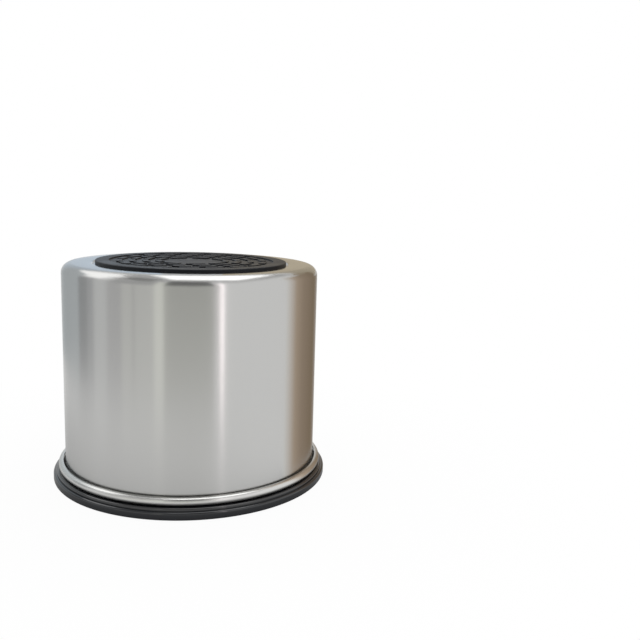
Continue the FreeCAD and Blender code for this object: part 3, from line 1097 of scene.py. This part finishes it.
@dataclass
class Studio:
    """White table, even white surroundings, one large lamp overhead and cards for the steel to mirror.

    Attributes:
        floor_half: Half the table's side.
        floor_drop: How far the table lies below the lid.
        floor_albedo: Share of light that the table throws back.
        shadow_share: How much of the object's shadow is seen on the table, close to the object.
        mirrored_painted_shadow: Painted shadow: how much darker the table is made in reflections only,
            close to the object.
        mirrored_painted_shadow_sides: Places to the right between which that painted shadow fades out.
        contact_painted_shadow: Painted contact shadow: how much darker the table is made in reflections
            only, at the lid's edge.
        contact_painted_shadow_reach: Distances from the can's axis between which that painted shadow fades
            out.
        shadow_reach: Distances from the can's axis between which the shadow fades out.
        ambient: Strength of the surroundings as a light.
        lamp_size: Width and depth of the lamp.
        lamp_place: Middle of the lamp.
        lamp_watts: Power of the lamp.
        ceiling: Colour and brightness of the ceiling that glossy surfaces show.
        ceiling_half: Half the ceiling's side.
        ceiling_height: Height of the ceiling.
        cards: The cards.
    """

    floor_half: float = 4.0
    floor_drop: float = 0.1 * MM
    floor_albedo: float = 0.8
    shadow_share: float = 0.05
    mirrored_painted_shadow: float = 0.28
    mirrored_painted_shadow_sides: tuple[float, float] = (0.0, 0.1)
    contact_painted_shadow: float = 0.72
    contact_painted_shadow_reach: tuple[float, float] = (0.064, 0.085)
    shadow_reach: tuple[float, float] = (0.06, 0.2)
    ambient: float = 0.7
    lamp_size: tuple[float, float] = (1.12, 1.68)
    lamp_place: tuple[float, float, float] = (0.25, 0.36, 1.5)
    lamp_watts: float = 10.7
    ceiling: Colour = (0.6, 0.6, 0.6)
    ceiling_half: float = 1.5
    ceiling_height: float = 1.6
    cards: tuple[Card, ...] = (
        Card("front_card", (-21.5, 16.5), (0.0, 0.135), (0.635, 0.64, 0.6)),
        Card("front_shade", (-21.5, 16.5), (0.135, 0.48), (0.18, 0.18, 0.18)),
        Card("left_light", (-29, -21.5), (0.0, 0.3), (1.02, 1.03, 0.96)),
        Card("left_card", (-56, -29), (0.0, 0.12), (0.78, 0.785, 0.755)),
        Card("left_line", (-46.6, -44.6), (0.02, 0.12), (0.58, 0.58, 0.57), distance=0.295),
        Card("left_dim_card", (-70, -56), (0.0, 0.12), (0.62, 0.62, 0.62)),
        Card("left_upper_card", (-70, -29), (0.12, 0.3), (0.54, 0.54, 0.54)),
        Card("left_pale_card", (-84, -70), (0.0, 0.2), (0.76, 0.77, 0.77)),
        Card("left_fade", (-92, -84), (0.0, 0.2), (0.53, 0.54, 0.55)),
        Card("left_strip", (-104, -92), (0.0, 0.18), (0.42, 0.43, 0.44)),
        Card("left_back", (-140, -104), (0.0, 0.26), (0.63, 0.67, 0.69)),
        Card("left_back_fade", (-165, -140), (0.0, 0.115), (1.0, 1.0, 1.0), fades_to=(0.63, 0.67, 0.69)),
        Card("left_gap", (-86, -40), (0.5, 1.1), (0.3, 0.3, 0.3), distance=0.5),
        Card("left_window", (-146, -88), (0.5, 1.58), (1.75, 1.75, 1.75), distance=1.0),
        Card("strip_edge", (17, 21.5), (0.04, 0.25), (0.66, 0.65, 0.64), fades_to=(1.15, 1.1, 1.1)),
        Card("bright_strip", (21.5, 24.5), (0.0, 0.25), (2.6, 2.4, 2.45)),
        Card("right_pale", (56, 60), (0.0, 0.115), (1.0, 1.0, 0.98), CLOSE_CARD, (0.87, 0.82, 0.77)),
        Card("right_blend", (60, 66.5), (0.0, 0.115), (0.87, 0.82, 0.77), CLOSE_CARD, (0.59, 0.47, 0.36)),
        Card("right_brown", (66.5, 75), (0.0, 0.115), (0.59, 0.47, 0.36), CLOSE_CARD, (0.45, 0.35, 0.265)),
        Card("right_dark", (75, 98), (0.0, 0.115), (0.45, 0.35, 0.265), CLOSE_CARD, (0.33, 0.25, 0.17)),
        Card("right_fade", (98, 128), (0.0, 0.094), (0.33, 0.25, 0.17), CLOSE_CARD, (1.0, 1.0, 1.0)),
        Card("back_right_end", (116, 145), (0.1, 0.3), (0.42, 0.34, 0.25), fades_to=(0.62, 0.54, 0.41)),
        Card("back_right", (145, 175), (0.1, 0.3), (0.62, 0.54, 0.41)),
        Card("back_card", (175, 185), (0.115, 0.3), (0.7, 0.71, 0.72)),
        Card("back_left", (185, 220), (0.115, 0.3), (0.73, 0.85, 0.98), fades_to=(0.66, 0.71, 0.75)),
    )

    def table_finish(self) -> bpy.types.Material:
        """Build the table's finish, white where it is seen, with the object's soft shadow on it, and a
        painted shadow round the object that only glossy rays see.

        Returns:
            The material.
        """
        material = bpy.data.materials.new("white_table")
        graph = Graph(material)
        matt = graph.add("ShaderNodeBsdfDiffuse")
        graph.feed(matt.inputs["Color"], (self.floor_albedo,) * 3)
        light = graph.add("ShaderNodeEmission")
        place = graph.place()
        reach = graph.reach(place)
        white = graph.ranged(reach, self.shadow_reach, (1 - self.shadow_share, 1.0))
        parts = graph.add("ShaderNodeSeparateXYZ")
        graph.join(place, parts.inputs[0])
        # Painted shadow: close to the object, more on the left and most at the lid's edge, the table glows
        # less for glossy rays, so reflections show a shadow that is painted in.
        near_painted_shadow = graph.ranged(reach, self.shadow_reach, (self.mirrored_painted_shadow, 0.0))
        left = graph.ranged(parts.outputs["X"], self.mirrored_painted_shadow_sides, (1.0, 0.0))
        glossy = graph.add("ShaderNodeLightPath").outputs[Ray.GLOSSY.value]
        contact_painted_shadow_mask = graph.ranged(reach, self.contact_painted_shadow_reach, (self.contact_painted_shadow, 0.0))
        shadow = graph.math("MAXIMUM", graph.math("MULTIPLY", near_painted_shadow, left), contact_painted_shadow_mask)
        darker = graph.math("MULTIPLY", shadow, glossy)
        graph.feed(light.inputs["Strength"], graph.ranged(darker, (0.0, 1.0), (1.0, 0.0)))
        mixed = graph.add("ShaderNodeMixShader")
        graph.feed(mixed.inputs[0], graph.math("MULTIPLY", graph.seen(), white))
        graph.join(matt.outputs[0], mixed.inputs[1])
        graph.join(light.outputs[0], mixed.inputs[2])
        graph.finish("ShaderNodeOutputMaterial", mixed.outputs[0])
        return material

    def floor(self) -> None:
        """Lay the table."""
        shape = bmesh.new()
        front, back = level_square(self.floor_half, -self.floor_drop)
        shape.faces.new([shape.verts.new(corner) for corner in (*front, *reversed(back))])
        table = finished_object("table", shape)
        table.data.materials.append(self.table_finish())

    def surroundings(self) -> None:
        """Set the world: white where it is seen, softer as a light."""
        world = bpy.data.worlds.new("white_room")
        graph = Graph(world)
        background = graph.add("ShaderNodeBackground")
        graph.feed(background.inputs["Color"], (1.0, 1.0, 1.0))
        strength = graph.ranged(graph.seen(), (0.0, 1.0), (self.ambient, 1.0))
        graph.feed(background.inputs["Strength"], strength)
        graph.finish("ShaderNodeOutputWorld", background.outputs[0])
        bpy.context.scene.world = world

    def lamp(self) -> None:
        """Hang the wide lamp over the object."""
        data = bpy.data.lights.new("overhead_lamp", "AREA")
        data.shape = "RECTANGLE"
        data.size, data.size_y = self.lamp_size
        data.energy = self.lamp_watts
        lamp = bpy.data.objects.new("overhead_lamp", data)
        lamp.location = self.lamp_place
        lamp.visible_camera = False
        bpy.context.scene.collection.objects.link(lamp)

    def build(self) -> None:
        """Set up the whole studio."""
        self.floor()
        self.surroundings()
        self.lamp()
        material = glow()
        ceiling = level_square(self.ceiling_half, self.ceiling_height)
        reflected_only("ceiling", [(side, self.ceiling) for side in ceiling], material)
        for card in self.cards:
            card.build(material)
        bpy.context.scene.view_settings.view_transform = "Standard"


@dataclass
class PhotoCamera:
    """Camera at the photograph's place.

    Attributes:
        distance: How far in front of the can's axis it stands.
        height: Its height above the table.
        focal_pixels: Focal length in pixels of the photograph.
        yaw: Turn to the right, in degrees.
        pitch: Turn downwards.
        roll: Turn about its line of sight.
    """

    distance: float = 360.876 * MM
    height: float = 133.156 * MM
    focal_pixels: float = 773.811
    yaw: float = 9.505
    pitch: float = 9.579
    roll: float = 1.668

    def build(self) -> None:
        """Make the camera and give it to the scene."""
        yaw, pitch, roll = (math.radians(angle) for angle in (self.yaw, self.pitch, self.roll))
        ahead = Vector((math.sin(yaw), math.cos(yaw), 0))
        level_right = Vector((math.cos(yaw), -math.sin(yaw), 0))
        zenith = Vector((0, 0, 1))
        forward = ahead * math.cos(pitch) - zenith * math.sin(pitch)
        level_up = zenith * math.cos(pitch) + ahead * math.sin(pitch)
        right = level_right * math.cos(roll) + level_up * math.sin(roll)
        up = level_up * math.cos(roll) - level_right * math.sin(roll)
        data = bpy.data.cameras.new("photo_camera")
        data.sensor_width = SENSOR_MM
        data.lens = self.focal_pixels * SENSOR_MM / IMAGE_SIDE
        camera = bpy.data.objects.new("photo_camera", data)
        turn = Matrix((right, up, -forward)).transposed().to_4x4()
        camera.matrix_world = Matrix.Translation((0, -self.distance, self.height)) @ turn
        bpy.context.scene.collection.objects.link(camera)
        bpy.context.scene.camera = camera


def main() -> None:
    """Build the camera, the studio and every piece in order."""
    logging.basicConfig(level=logging.INFO, format="%(name)s: %(message)s")
    PhotoCamera().build()
    Studio().build()
    for part in (Can(), BasePad(), OuterLid(), LidSeal(), InnerWorks()):
        part.dress()


if __name__ == "__main__":
    main()
